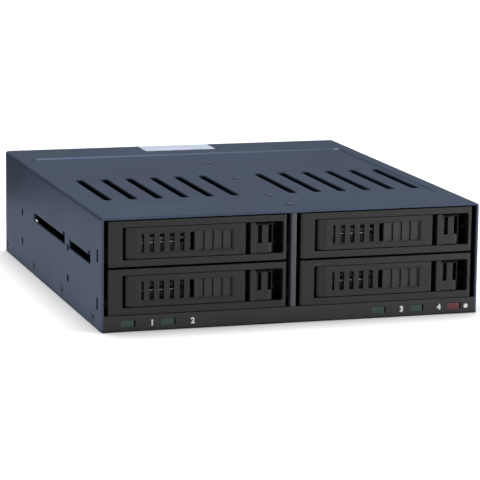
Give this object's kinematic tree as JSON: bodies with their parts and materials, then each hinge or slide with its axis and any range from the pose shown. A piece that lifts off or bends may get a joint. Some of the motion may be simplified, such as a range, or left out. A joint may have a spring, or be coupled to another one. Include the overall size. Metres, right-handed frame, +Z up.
{
  "type": "hot swap drive cage",
  "caption": "Half height drive bay cage with sliding hot swap trays, lever handles, release latches, a backplane and rear fans.",
  "frame": {"origin": "centre of the cage's footprint on the surface it stands on", "axes": "+Z up, front with the trays towards -Y, +X to the right seen from the front"},
  "size_m": [0.146, 0.1654, 0.042],
  "materials": {
    "painted_steel": "fine powder coat, blue black",
    "zinc_steel": "zinc plated sheet",
    "steel": "bare steel",
    "black_screw": "black oxide",
    "black_plastic": "fine moulded grain",
    "socket_plastic": "glass filled moulding",
    "fan_plastic": "satin moulding",
    "green_lens": "clear tinted, unlit",
    "red_lens": "clear tinted, unlit",
    "circuit_board": "green solder mask",
    "brass": "turned"
  },
  "bodies": {
    "chassis": {"top_cover": "painted_steel", "base_pan": "painted_steel", "centre_wall": "painted_steel", "centre_post": "painted_steel", "rear_panel": "painted_steel", "front_bezel": "black_plastic", "green_lenses": "green_lens", "red_lens": "red_lens", "led_board": "circuit_board", "backplane": "circuit_board", "drive_connectors": "socket_plastic", "io_board": "circuit_board", "io_standoffs": "brass", "board_header": "socket_plastic", "data_ports": "socket_plastic", "power_sockets": "socket_plastic", "fan_frame_left": "fan_plastic", "fan_frame_right": "fan_plastic", "fan_screws": "steel", "backplane_screws": "steel", "cover_screws": "black_screw", "divider_screws": "black_screw"},
    "tray_1": {"carrier_1": "zinc_steel", "tray_front_1": "black_plastic", "lever_pin_1": "steel", "latch_spring_1": "steel", "tray_screws_1": "steel"},
    "handle_1": {"lever_1": "black_plastic", "lever_spring_1": "steel"},
    "release_1": {"latch_1": "black_plastic"},
    "tray_2": {"carrier_2": "zinc_steel", "tray_front_2": "black_plastic", "lever_pin_2": "steel", "latch_spring_2": "steel", "tray_screws_2": "steel"},
    "handle_2": {"lever_2": "black_plastic", "lever_spring_2": "steel"},
    "release_2": {"latch_2": "black_plastic"},
    "tray_3": {"carrier_3": "zinc_steel", "tray_front_3": "black_plastic", "lever_pin_3": "steel", "latch_spring_3": "steel", "tray_screws_3": "steel"},
    "handle_3": {"lever_3": "black_plastic", "lever_spring_3": "steel"},
    "release_3": {"latch_3": "black_plastic"},
    "tray_4": {"carrier_4": "zinc_steel", "tray_front_4": "black_plastic", "lever_pin_4": "steel", "latch_spring_4": "steel", "tray_screws_4": "steel"},
    "handle_4": {"lever_4": "black_plastic", "lever_spring_4": "steel"},
    "release_4": {"latch_4": "black_plastic"},
    "fan_left": {"fan_rotor_left": "fan_plastic"},
    "fan_right": {"fan_rotor_right": "fan_plastic"}
  },
  "joints": [
    {"name": "tray_slide_1", "type": "slide", "parent": "chassis", "child": "tray_1", "axis": [0, -1, 0], "range_m": [0, 0.118]},
    {"name": "lever_hinge_1", "type": "hinge", "parent": "tray_1", "child": "handle_1", "pos_m": [-0.06215, -0.0795, 0.0322], "axis": [0, 0, -1], "range_deg": [0, 65]},
    {"name": "latch_slide_1", "type": "slide", "parent": "tray_1", "child": "release_1", "axis": [1, 0, 0], "range_m": [0, 0.0025], "stiffness_N_per_m": 200, "deforming": ["latch_spring_1"]},
    {"name": "tray_slide_2", "type": "slide", "parent": "chassis", "child": "tray_2", "axis": [0, -1, 0], "range_m": [0, 0.118]},
    {"name": "lever_hinge_2", "type": "hinge", "parent": "tray_2", "child": "handle_2", "pos_m": [-0.06215, -0.0795, 0.0145], "axis": [0, 0, -1], "range_deg": [0, 65]},
    {"name": "latch_slide_2", "type": "slide", "parent": "tray_2", "child": "release_2", "axis": [1, 0, 0], "range_m": [0, 0.0025], "stiffness_N_per_m": 200, "deforming": ["latch_spring_2"]},
    {"name": "tray_slide_3", "type": "slide", "parent": "chassis", "child": "tray_3", "axis": [0, -1, 0], "range_m": [0, 0.118]},
    {"name": "lever_hinge_3", "type": "hinge", "parent": "tray_3", "child": "handle_3", "pos_m": [0.0111, -0.0795, 0.0322], "axis": [0, 0, -1], "range_deg": [0, 65]},
    {"name": "latch_slide_3", "type": "slide", "parent": "tray_3", "child": "release_3", "axis": [1, 0, 0], "range_m": [0, 0.0025], "stiffness_N_per_m": 200, "deforming": ["latch_spring_3"]},
    {"name": "tray_slide_4", "type": "slide", "parent": "chassis", "child": "tray_4", "axis": [0, -1, 0], "range_m": [0, 0.118]},
    {"name": "lever_hinge_4", "type": "hinge", "parent": "tray_4", "child": "handle_4", "pos_m": [0.0111, -0.0795, 0.0145], "axis": [0, 0, -1], "range_deg": [0, 65]},
    {"name": "latch_slide_4", "type": "slide", "parent": "tray_4", "child": "release_4", "axis": [1, 0, 0], "range_m": [0, 0.0025], "stiffness_N_per_m": 200, "deforming": ["latch_spring_4"]},
    {"name": "fan_spin_left", "type": "hinge", "parent": "chassis", "child": "fan_left", "pos_m": [-0.0484, 0.07, 0.021], "axis": [0, 1, 0], "continuous": true},
    {"name": "fan_spin_right", "type": "hinge", "parent": "chassis", "child": "fan_right", "pos_m": [0.0484, 0.07, 0.021], "axis": [0, 1, 0], "continuous": true}
  ]
}
